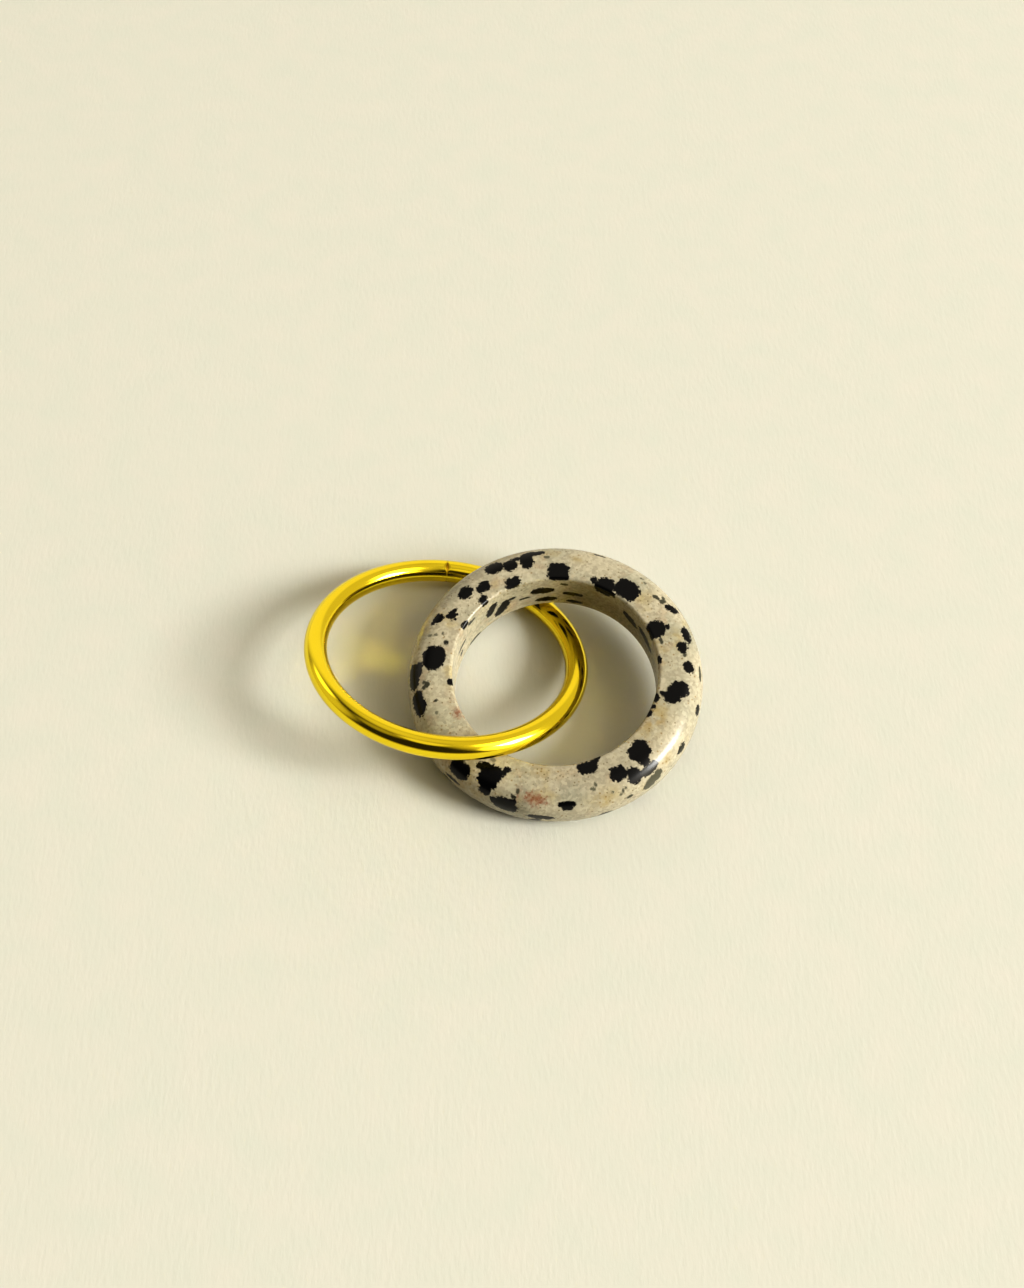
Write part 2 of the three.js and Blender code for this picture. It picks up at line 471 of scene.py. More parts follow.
@dataclass(frozen=True)
class PolishedDalmatianStone:
    """Polished dalmatian stone: a cream aplite with black amphibole crystals.

    The eye gets a sugary cream ground that drifts between cool cream, pinkish beige and yellow, fine
    pepper between the grains, ragged black blots with crisp edges, a few grey-green and rust-red
    ones, and a polish over it all, a little dulled by pits between the grains. The grain is really
    about 0.1 mm and the pepper finer still, and both are drawn a little coarser so that they show.
    """

    cream: str = "#B2AA94"
    drifts: tuple[Drift, ...] = (
        Drift("#A39F8B", 3.2, 0.4, 0.66, 0.9),
        Drift("#AD9B82", 1.6, 0.54, 0.74, 0.6),
        Drift("#A99B74", 2.2, 0.55, 0.75, 0.7),
    )
    specks: tuple[Specks, ...] = (
        Specks("ochre_amount", "#7F6534", 0.34, 0.12, 0.08, 0.7, 0.65),
        Specks("pepper_amount", "#6A5C3C", 0.3, 0.1, 0.14, 0.55, 0.75),
    )
    # How bright the ground still is where the chart of darker stone and painted shade is full
    shade: float = 0.7
    # A yellow wash of soft clouds, with the noise values between which it comes in
    wash_colour: str = "#998651"
    wash_mm: float = 0.8
    wash_reach: tuple[float, float] = (0.3, 0.7)
    wash_depth: float = 0.85
    # The share of a speck's radius that has its full strength
    speck_core: float = 1 / 3
    # Tones between which a spot turns from grey-green to black, and the tone that hides the ground
    black: str = "#08080A"
    green_grey: str = "#585748"
    black_tones: tuple[float, float] = (0.45, 0.85)
    whole_tone: float = 0.5
    # Rust lies between the grains: its own grain's size and reach, and its least strength
    rust: str = "#80482F"
    rust_grain_mm: float = 0.3
    rust_grain_reach: tuple[float, float] = (0.3, 0.65)
    rust_least: float = 0.25
    # The sugary grain, with the darkest and the lightest shade of a grain
    grain_mm: float = 0.22
    grain_shades: tuple[float, float] = (0.81, 1.12)
    # A spot's edge is chipped by single crystals and wavers, each by a share of the spot's fray
    chip_mm: float = 0.18
    chip_share: float = 1.2
    fray_mm: float = 0.5
    fray_share: float = 2.2
    rust_fray_mm: float = 0.4
    # Distances from the outline, outer and inner, between which a spot and a stain come in
    edge_mm: tuple[float, float] = (0.12, -0.03)
    stain_edge_mm: tuple[float, float] = (0.3, -0.35)
    # The polish follows the ground in very low waves
    relief_mm: float = 0.9
    relief_height_mm: float = 0.004
    detail: float = 3.0
    roughness: float = 0.24
    ior: float = 1.52
    specular: float = 0.32

    def build(self) -> bpy.types.Material:
        """Makes the stone's material.

        Returns:
            The material.
        """
        material, tree, shader = new_material("polished_dalmatian_stone")
        place = add_node(tree, "ShaderNodeTexCoord", out="Object")
        colour = self.ground(tree, place)
        colour = self.specked(tree, place, colour)
        colour = self.spotted(tree, place, colour)
        tree.links.new(colour, shader.inputs["Base Color"])
        relief = add_node(
            tree, "ShaderNodeTexNoise",
            {"Vector": place, "Scale": per_mm(self.relief_mm), "Detail": self.detail},
        )
        bump = add_node(
            tree, "ShaderNodeBump", {"Height": relief, "Distance": self.relief_height_mm * MM}
        )
        tree.links.new(bump, shader.inputs["Normal"])
        shader.inputs["Roughness"].default_value = self.roughness
        shader.inputs["IOR"].default_value = self.ior
        shader.inputs["Specular IOR Level"].default_value = self.specular
        return material

    def ground(self, tree: bpy.types.NodeTree, place: bpy.types.NodeSocket) -> bpy.types.NodeSocket:
        """Makes the cream ground, which drifts in tone, has a sugary grain, and is darkened by the chart
        of darker stone and painted shade.

        Args:
            tree: the material's tree.
            place: the surface coordinates.

        Returns:
            The ground's colour.
        """
        colour = linear(self.cream)
        for drift in self.drifts:
            cloud = add_node(
                tree, "ShaderNodeTexNoise",
                {"Vector": place, "Scale": per_mm(drift.size_mm), "Detail": self.detail},
            )
            amount = add_node(
                tree, "ShaderNodeMapRange",
                {"Value": cloud, "From Min": drift.start, "From Max": drift.end, "To Max": drift.depth},
                interpolation_type="SMOOTHSTEP",
            )
            colour = add_node(
                tree, "ShaderNodeMix",
                {MIX_AMOUNT: amount, MIX_UNDER: colour, MIX_OVER: linear(drift.colour)},
                out=MIX_RESULT, data_type="RGBA",
            )
        grains = add_node(
            tree, "ShaderNodeTexVoronoi", {"Vector": place, "Scale": per_mm(self.grain_mm)}, out="Color"
        )
        grey = add_node(tree, "ShaderNodeSeparateColor", {"Color": grains})
        darkest, lightest = self.grain_shades
        light = add_node(
            tree, "ShaderNodeMapRange", {"Value": grey, "To Min": darkest, "To Max": lightest}
        )
        # The chart darkens the ground: the stone's own greyer patches and an olive stain, and painted
        # shade on the far bore wall and on the flanks turned away from the window
        dull = add_node(tree, "ShaderNodeAttribute", out="Fac", attribute_name="dark_ground_and_shade_amount")
        dulled = add_node(tree, "ShaderNodeMapRange", {"Value": dull, "To Min": 1.0, "To Max": self.shade})
        light = add_node(tree, "ShaderNodeMath", {0: light, 1: dulled}, operation="MULTIPLY")
        return add_node(tree, "ShaderNodeVectorMath", {0: colour, "Scale": light}, operation="SCALE")

    def specked(
        self, tree: bpy.types.NodeTree, place: bpy.types.NodeSocket, colour: bpy.types.NodeSocket,
    ) -> bpy.types.NodeSocket:
        """Washes the ground with yellow where the chart has it, and strews the specks over it.

        Args:
            tree: the material's tree.
            place: the surface coordinates.
            colour: the colour of the ground.

        Returns:
            The colour with the specks on it.
        """
        ochre = add_node(tree, "ShaderNodeAttribute", out="Fac", attribute_name="ochre_amount")
        cloud = add_node(
            tree, "ShaderNodeTexNoise",
            {"Vector": place, "Scale": per_mm(self.wash_mm), "Detail": self.detail},
        )
        start, end = self.wash_reach
        wash = add_node(
            tree, "ShaderNodeMapRange",
            {"Value": cloud, "From Min": start, "From Max": end, "To Max": self.wash_depth},
            interpolation_type="SMOOTHSTEP",
        )
        washed = add_node(tree, "ShaderNodeMath", {0: ochre, 1: wash}, operation="MULTIPLY")
        colour = add_node(
            tree, "ShaderNodeMix",
            {MIX_AMOUNT: washed, MIX_UNDER: colour, MIX_OVER: linear(self.wash_colour)},
            out=MIX_RESULT, data_type="RGBA",
        )
        for specks in self.specks:
            distance = add_node(
                tree, "ShaderNodeTexVoronoi",
                {"Vector": place, "Scale": per_mm(specks.spacing_mm)}, out="Distance",
            )
            chance = add_node(tree, "ShaderNodeSeparateColor", {"Color": distance.node.outputs["Color"]})
            charted = add_node(tree, "ShaderNodeAttribute", out="Fac", attribute_name=specks.chart)
            share = add_node(
                tree, "ShaderNodeMapRange",
                {"Value": charted, "To Min": specks.least, "To Max": specks.most},
            )
            held = add_node(tree, "ShaderNodeMath", {0: chance, 1: share}, operation="LESS_THAN")
            reach = specks.radius_mm / specks.spacing_mm
            core = reach * self.speck_core
            dot = add_node(
                tree, "ShaderNodeMapRange",
                {"Value": distance, "From Min": reach, "From Max": core, "To Max": specks.depth},
                interpolation_type="SMOOTHSTEP",
            )
            amount = add_node(tree, "ShaderNodeMath", {0: held, 1: dot}, operation="MULTIPLY")
            colour = add_node(
                tree, "ShaderNodeMix",
                {MIX_AMOUNT: amount, MIX_UNDER: colour, MIX_OVER: linear(specks.colour)},
                out=MIX_RESULT, data_type="RGBA",
            )
        return colour

    def ragged(self, tree: bpy.types.NodeTree, place: bpy.types.NodeSocket) -> bpy.types.NodeSocket:
        """Makes the fray of the spots' edges: crystal corners on a softer waver.

        Args:
            tree: the material's tree.
            place: the surface coordinates.

        Returns:
            The fray, which goes from about minus one to one.
        """
        crystals = add_node(
            tree, "ShaderNodeTexVoronoi", {"Vector": place, "Scale": per_mm(self.chip_mm)}, out="Color"
        )
        chip = add_node(tree, "ShaderNodeSeparateColor", {"Color": crystals}, out="Green")
        chips = add_node(
            tree, "ShaderNodeMapRange",
            {"Value": chip, "To Min": -self.chip_share / 2, "To Max": self.chip_share / 2},
        )
        waver = add_node(
            tree, "ShaderNodeTexNoise",
            {"Vector": place, "Scale": per_mm(self.fray_mm), "Detail": self.detail},
        )
        waves = add_node(
            tree, "ShaderNodeMapRange",
            {"Value": waver, "To Min": -self.fray_share / 2, "To Max": self.fray_share / 2},
        )
        return add_node(tree, "ShaderNodeMath", {0: chips, 1: waves}, operation="ADD")

    def spotted(
        self, tree: bpy.types.NodeTree, place: bpy.types.NodeSocket, colour: bpy.types.NodeSocket,
    ) -> bpy.types.NodeSocket:
        """Lays the rust stains and the dark spots over the ground, with frayed edges.

        Args:
            tree: the material's tree.
            place: the surface coordinates.
            colour: the colour of the specked ground.

        Returns:
            The stone's whole colour.
        """
        ragged = self.ragged(tree, place)
        rust_edge, rust_tone, dark_edge, dark_tone, dark_fray = (
            add_node(tree, "ShaderNodeAttribute", out="Fac", attribute_name=name)
            for name in ("rust_edge", "rust_tone", "dark_edge", "dark_tone", "dark_fray")
        )
        stain = add_node(
            tree, "ShaderNodeMath", {0: ragged, 1: self.rust_fray_mm, 2: rust_edge},
            operation="MULTIPLY_ADD",
        )
        outer, inner = self.stain_edge_mm
        stained = add_node(
            tree, "ShaderNodeMapRange",
            {"Value": stain, "From Min": outer, "From Max": inner},
            interpolation_type="SMOOTHSTEP",
        )
        grain = add_node(
            tree, "ShaderNodeTexNoise",
            {"Vector": place, "Scale": per_mm(self.rust_grain_mm), "Detail": self.detail},
        )
        start, end = self.rust_grain_reach
        grainy = add_node(
            tree, "ShaderNodeMapRange",
            {"Value": grain, "From Min": start, "From Max": end, "To Min": self.rust_least},
        )
        rusty = add_node(tree, "ShaderNodeMath", {0: stained, 1: rust_tone}, operation="MULTIPLY")
        rusted = add_node(tree, "ShaderNodeMath", {0: rusty, 1: grainy}, operation="MULTIPLY")
        colour = add_node(
            tree, "ShaderNodeMix",
            {MIX_AMOUNT: rusted, MIX_UNDER: colour, MIX_OVER: linear(self.rust)},
            out=MIX_RESULT, data_type="RGBA",
        )
        border = add_node(
            tree, "ShaderNodeMath", {0: ragged, 1: dark_fray, 2: dark_edge}, operation="MULTIPLY_ADD"
        )
        outer, inner = self.edge_mm
        dark = add_node(
            tree, "ShaderNodeMapRange",
            {"Value": border, "From Min": outer, "From Max": inner},
            interpolation_type="SMOOTHSTEP",
        )
        faint, full = self.black_tones
        depth = add_node(
            tree, "ShaderNodeMapRange", {"Value": dark_tone, "From Min": faint, "From Max": full}
        )
        tint = add_node(
            tree, "ShaderNodeMix",
            {MIX_AMOUNT: depth, MIX_UNDER: linear(self.green_grey), MIX_OVER: linear(self.black)},
            out=MIX_RESULT, data_type="RGBA",
        )
        hold = add_node(tree, "ShaderNodeMapRange", {"Value": dark_tone, "From Max": self.whole_tone})
        cover = add_node(tree, "ShaderNodeMath", {0: dark, 1: hold}, operation="MULTIPLY")
        return add_node(
            tree, "ShaderNodeMix",
            {MIX_AMOUNT: cover, MIX_UNDER: colour, MIX_OVER: tint},
            out=MIX_RESULT, data_type="RGBA",
        )


# Stone band

class Kind(Enum):
    """What a charted spot of the stone is: its dark mineral or a rust stain."""

    DARK = "dark"
    RUST = "rust"


@dataclass(frozen=True)
class Spot:
    """One charted spot of the stone, in the band's own frame.

    Attributes:
        angle: degrees round the band, anticlockwise from its own X.
        rise: millimetres over the surface from the bore's middle, up and outwards.
        length: half its length along the band, in millimetres.
        width: half its width across the band, in millimetres.
        turn: degrees from along the band towards up.
        tone: how dark it is, from a faint grey-green to black at one.
        power: two for an oval, more for a block.
        kind: what it is made of.
    """

    angle: float
    rise: float
    length: float
    width: float
    turn: float = 0.0
    tone: float = 1.0
    power: float = 2.4
    kind: Kind = Kind.DARK


@dataclass(frozen=True)
class Tinge:
    """A soft patch of the stone with more specks, or a darker ground that in places is painted shade,
    charted as a spot is.

    Attributes:
        angle: degrees round the band, anticlockwise from its own X.
        rise: millimetres over the surface from the bore's middle, up and outwards.
        length: how far it reaches along the band, in millimetres.
        width: how far it reaches across the band, in millimetres.
        amount: how strong it is at its middle, from zero to one.
    """

    angle: float
    rise: float
    length: float
    width: float
    amount: float = 1.0


# The spots that the photograph shows, each read off it: angle, rise, half length, half width
CHARTED_SPOTS = (
    # far left, from the gold's far crossing round
    Spot(117.5, 4.7, 0.78, 0.64),
    Spot(110.6, 4.3, 0.62, 0.58),
    Spot(107, 4.75, 0.4, 0.22),
    Spot(102.5, 4.3, 0.55, 0.8),
    Spot(99, 5.0, 1.0, 0.28),
    Spot(112.8, 2.55, 0.63, 0.52),
    Spot(116.3, 2.35, 0.25, 0.22),
    Spot(135.7, 4.15, 0.66, 0.6),
    Spot(127.6, 3.5, 0.62, 0.44),
    Spot(132, 2.65, 0.36, 0.3),
    Spot(132.8, 2.2, 0.3, 0.28),
    Spot(150.4, 2.2, 0.42, 0.28),
    Spot(146.8, 1.75, 0.25, 0.1),
    Spot(149.2, 3.72, 0.44, 0.4),
    Spot(146.8, 3.75, 0.3, 0.15),
    Spot(153.2, 4.6, 0.48, 0.38),
    Spot(155.2, 4.85, 0.35, 0.18),
    Spot(164, 3.1, 0.17, 0.15, tone=0.75),
    Spot(162.3, 4.65, 0.07, 0.2, tone=0.4),
    Spot(161.2, 4.15, 0.07, 0.16, tone=0.4),
    Spot(159.8, 3.65, 0.1, 0.07, tone=0.45),
    Spot(173.2, 3.85, 1.1, 0.96, power=2.2),
    Spot(179, 5.0, 0.7, 0.26, tone=0.9),
    Spot(181.5, 5.6, 1.22, 0.6, tone=0.8),
    Spot(186.6, 4.35, 0.22, 0.2, tone=0.6),
    Spot(188, 4.65, 0.16, 0.13, tone=0.6),
    Spot(185.4, 4.6, 0.12, 0.14, tone=0.55),
    Spot(186.9, 2.3, 0.33, 0.27),
    Spot(194, 5.4, 1.08, 0.64),
    Spot(195.5, 3.85, 0.12, 0.12, tone=0.7),
    # far bore wall
    Spot(121.5, -0.55, 1.05, 0.52, turn=-59, tone=0.95),
    Spot(115.8, 0.25, 0.5, 0.16, tone=0.75),
    Spot(129, 0.3, 0.88, 0.44, turn=-63, tone=0.95),
    Spot(96.8, 0.25, 1.0, 0.46),
    Spot(107.5, -0.5, 0.45, 0.14, tone=0.7),
    Spot(94.5, -1.3, 0.9, 0.32),
    Spot(145, 1.55, 0.42, 0.15, tone=0.6),
    Spot(143.5, -1.9, 0.85, 0.13, tone=0.7),
    Spot(158.5, -0.8, 0.22, 0.2, tone=0.7),
    Spot(157.5, 0.05, 0.8, 0.14, tone=0.75),
    Spot(79, -0.25, 0.85, 0.25),
    Spot(78, -1.6, 0.75, 0.2),
    Spot(40.5, 0.2, 0.85, 0.42, turn=22),
    Spot(25.5, 0.2, 1.2, 0.45, turn=20),
    # far right
    Spot(93, 4.4, 0.25, 0.12, tone=0.45),
    Spot(87.3, 2.85, 0.9, 0.83, power=4),
    Spot(84, 1.3, 0.3, 0.15, tone=0.6),
    Spot(70, 5.5, 0.5, 0.13, tone=0.85),
    Spot(48.5, 5.1, 0.13, 0.1, tone=0.42),
    Spot(46.3, 4.9, 0.12, 0.1, tone=0.42),
    Spot(67.9, 2.65, 0.28, 0.25),
    Spot(60.5, 2.4, 0.85, 0.95),
    Spot(50, 3.3, 1.08, 0.88, power=3),
    Spot(55, 2.1, 0.3, 0.3),
    Spot(37.6, 4.55, 0.32, 0.14, turn=-25, tone=0.6),
    Spot(34.2, 4.75, 0.16, 0.26, tone=0.6),
    Spot(35.6, 5.1, 0.14, 0.12, tone=0.5),
    Spot(29.3, 5.15, 0.62, 0.33, turn=-36),
    Spot(22.8, 2.85, 0.74, 0.85),
    Spot(21.6, 3.8, 0.25, 0.2),
    Spot(20, 2.1, 0.25, 0.25),
    Spot(15.4, 2.85, 0.3, 0.12, tone=0.6),
    Spot(16, 5.2, 0.75, 0.4),
    Spot(10.2, 4.45, 0.52, 0.42),
    Spot(6, 4.5, 0.16, 0.12, tone=0.6),
    Spot(0.3, 4.75, 0.48, 0.47),
    Spot(359, 6.0, 0.75, 0.15, tone=0.6),
    Spot(5, 2.3, 0.35, 0.2),
    # near right
    Spot(349, 4.08, 0.72, 0.8),
    Spot(348, 3.35, 0.3, 0.3),
    Spot(344.5, 3.6, 0.62, 0.68),
    Spot(345, 2.75, 0.15, 0.28),
    Spot(343.8, 6.35, 0.5, 0.32, tone=0.85),
    Spot(341.6, 2.3, 0.42, 0.26),
    Spot(335.9, 2.3, 0.2, 0.24),
    Spot(331.6, 2.3, 0.36, 0.24),
    Spot(326.5, 6.45, 0.55, 0.36, tone=0.75),
    Spot(311.8, 3.75, 0.9, 0.86),
    Spot(310.6, 4.6, 0.45, 0.32),
    Spot(309.8, 5.35, 0.95, 0.36, tone=0.8),
    Spot(309.7, 6.55, 1.1, 0.5, turn=-22, tone=0.5),
    Spot(303.3, 5.08, 0.6, 0.66),
    Spot(298, 4.28, 0.72, 0.6),
    Spot(296.6, 5.75, 0.09, 0.2, turn=20, tone=0.5),
    Spot(297.8, 5.6, 0.08, 0.12, tone=0.5),
    Spot(295.4, 5.95, 0.1, 0.08, tone=0.45),
    Spot(298.5, 6.7, 0.3, 0.13, tone=0.62),
    Spot(292.5, 5.45, 0.09, 0.09, tone=0.5),
    Spot(286, 2.85, 0.8, 0.55),
    Spot(292, 2.25, 0.3, 0.25),
    Spot(290, 2.45, 0.35, 0.2),
    Spot(285.2, 4.7, 0.17, 0.13, turn=25, tone=0.46),
    Spot(286.7, 4.42, 0.08, 0.16, tone=0.46),
    Spot(274, 5.62, 0.66, 0.2, power=6),
    Spot(274, 5.88, 0.46, 0.3, power=3),
    Spot(263.8, 7.25, 1.1, 0.36),
    # near left, under the gold
    Spot(252.5, 5.4, 0.2, 0.2, tone=0.7),
    Spot(250.3, 6.65, 1.0, 0.6),
    Spot(248.6, 6.15, 0.55, 0.42),
    Spot(252.2, 5.9, 0.4, 0.3, tone=0.85),
    Spot(245.9, 6.42, 0.42, 0.4),
    Spot(238.4, 4.65, 0.55, 0.9),
    Spot(240.8, 5.65, 0.52, 0.5),
    Spot(242.3, 5.05, 0.5, 0.4),
    Spot(241.6, 4.1, 0.75, 0.55),
    Spot(244, 4.45, 0.3, 0.3),
    Spot(234.5, 4.2, 0.3, 0.3),
    Spot(237.3, 3.9, 0.6, 0.22),
    Spot(246.2, 3.45, 0.25, 0.25, tone=0.85),
    Spot(245.2, 3.8, 0.25, 0.2),
    Spot(237.5, 3.2, 0.2, 0.15, tone=0.35),
    Spot(227.8, 5.5, 0.95, 0.76),
    Spot(226.5, 7.0, 0.7, 0.26, tone=0.9),
    Spot(201.5, 4.15, 0.1, 0.1, tone=0.4),
    # rust-red and olive stains
    Spot(205.3, 2.45, 0.42, 0.42, tone=0.85, kind=Kind.RUST),
    Spot(208, 2.1, 0.1, 0.1, tone=0.85, kind=Kind.RUST),
    Spot(261.3, 5.25, 0.98, 0.5, tone=0.8, kind=Kind.RUST),
    Spot(254, 5.1, 0.15, 0.75, tone=0.55, kind=Kind.RUST),
    Spot(253.8, 4.9, 0.1, 0.22, tone=0.55),
    Spot(203, 4.9, 0.5, 0.4, tone=0.2, kind=Kind.RUST),
)

# Where the stone has more ochre specks, then more pepper, then a darker ground, which is partly the
# stone's own and partly painted shade: angle, rise, length, width, amount
OCHRE_TINGES = (
    Tinge(317.5, 5.6, 0.6, 0.4, 0.9),
    Tinge(289, 5.8, 0.9, 0.6, 0.9),
    Tinge(79, 4.3, 0.5, 0.3, 0.6),
    Tinge(17, 4.15, 0.5, 0.3, 0.6),
    Tinge(11, 2.65, 1.2, 0.4, 0.6),
    Tinge(330, 2.9, 1.5, 0.7, 1.0),
    Tinge(226, 6.4, 3.0, 1.2, 0.7),
    Tinge(263, 2.7, 1.3, 0.5, 0.5),
)

PEPPER_TINGES = (
    Tinge(272, 3.4, 2.6, 1.2, 1.0),
    Tinge(300, 3.2, 1.6, 0.8, 0.5),
    Tinge(160, 4.0, 1.4, 0.8, 0.5),
    Tinge(40, 4.0, 1.6, 0.9, 0.5),
)

DARK_GROUND_AND_SHADE_TINGES = (
    # the near side's greyer stone
    Tinge(283, 4.0, 3.2, 2.6, 0.58),
    # painted shade on the near right shoulder
    Tinge(312, 4.5, 2.6, 1.6, 0.22),
    Tinge(345, 6.2, 2.6, 1.0, 0.22),
    # darker on the right shoulder
    Tinge(15, 5.8, 1.6, 0.7, 0.4),
    # painted shade on the lower-left flank, which is turned away from the window
    Tinge(228, 7.0, 3.0, 1.6, 0.62),
    Tinge(196, 6.4, 2.2, 0.9, 0.36),
    # an olive stain
    Tinge(256, 6.2, 0.45, 1.0, 1.0),
    # painted shade on the far bore wall, which is turned away from the window
    Tinge(36, -0.6, 5.0, 1.1, 1.0),
    Tinge(74, -0.6, 2.6, 1.1, 0.9),
)


@dataclass(frozen=True)
class HiddenBelt:
    """A stretch of the stone that the photograph doesn't show, which gets spots of the same kind.

    Attributes:
        first_angle: degrees round the band where it starts.
        last_angle: degrees round the band where it ends.
        lowest: its lowest rise over the surface, in millimetres.
        highest: its highest rise over the surface, in millimetres.
        count: how many spots it gets.
    """

    first_angle: float
    last_angle: float
    lowest: float
    highest: float
    count: int


HIDDEN_BELTS = (
    HiddenBelt(0, 360, -6.9, -2.6, 46),
    HiddenBelt(195, 345, -1.6, 1.4, 9),
    HiddenBelt(20, 165, 6.7, 7.3, 7),
)


@dataclass
class RestingBand:
    """Where a band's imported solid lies, measured from its mesh."""

    node: bpy.types.Object
    centre: Vector = field(init=False)
    turned: Matrix = field(init=False)
    inner_radius: float = field(init=False)
    outer_radius: float = field(init=False)
    half_height: float = field(init=False)

    def __post_init__(self) -> None:
        """Measures the solid: its middle, its axis, its radii and its height."""
        mesh = self.node.data
        mesh.calc_loop_triangles()
        points = np.array([v.co for v in mesh.vertices])
        corners = points[np.array([t.vertices for t in mesh.loop_triangles])]
        areas = np.linalg.norm(
            np.cross(corners[:, 1] - corners[:, 0], corners[:, 2] - corners[:, 0]), axis=1
        )
        middles = corners.mean(axis=1)
        centre = np.average(middles, axis=0, weights=areas)
        spread = np.cov((middles - centre).T, aweights=areas)
        axis = Vector(np.linalg.eigh(spread)[1][:, 0])
        if axis.z < 0:
            axis.negate()
        turned = Vector((0, 0, 1)).rotation_difference(axis).to_matrix()
        own = (points - centre) @ np.array(turned)
        radii = np.hypot(own[:, 0], own[:, 1])
        self.centre = Vector(centre)
        self.turned = turned
        self.inner_radius = float(radii.min()) / MM
        self.outer_radius = float(radii.max()) / MM
        self.half_height = float(np.abs(own[:, 2]).max()) / MM

    def place(self, mesh: bpy.types.Mesh) -> None:
        """Puts a mesh made in millimetres round the origin where the band lies."""
        mesh.transform(
            Matrix.Translation(self.centre) @ self.turned.to_4x4() @ Matrix.Scale(MM, 4)
        )


